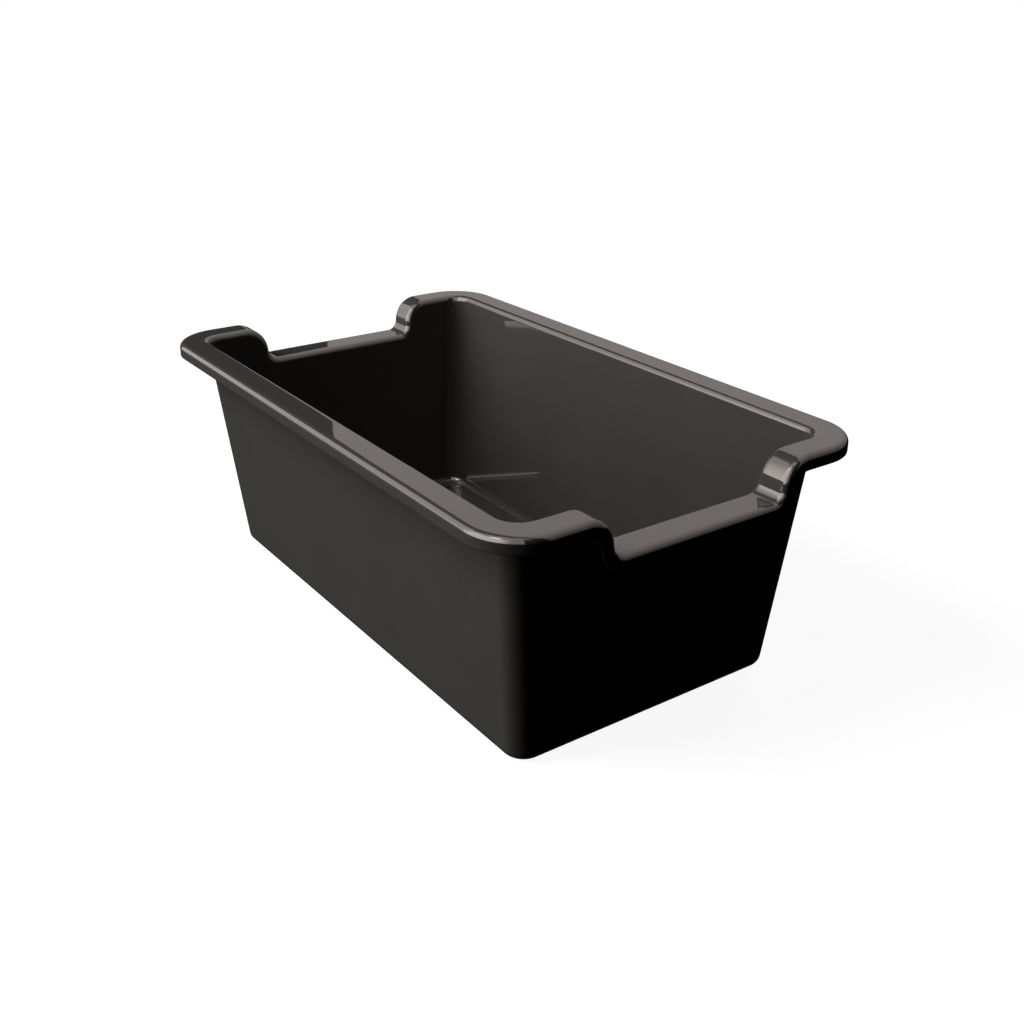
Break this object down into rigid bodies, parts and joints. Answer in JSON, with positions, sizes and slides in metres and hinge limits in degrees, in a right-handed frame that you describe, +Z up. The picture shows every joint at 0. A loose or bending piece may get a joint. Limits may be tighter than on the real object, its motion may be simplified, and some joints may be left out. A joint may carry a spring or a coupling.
{
  "type": "mortar mixing tub",
  "caption": "Deep rectangular plastic mixing tub with sloping walls, rounded corners and a turned-down rim that dips at each short end for gripping and pouring.",
  "frame": {"origin": "centre of the flat base, on the surface that the tub stands on", "axes": "+X along the length, towards one of the dipped short ends; +Y across the width, towards a long side; +Z up, out of the mouth"},
  "size_m": [0.8186, 0.4986, 0.3],
  "materials": {
    "black_plastic": "smooth glossy black polyethylene"
  },
  "bodies": {
    "root": {"tub": "black_plastic"}
  },
  "joints": []
}
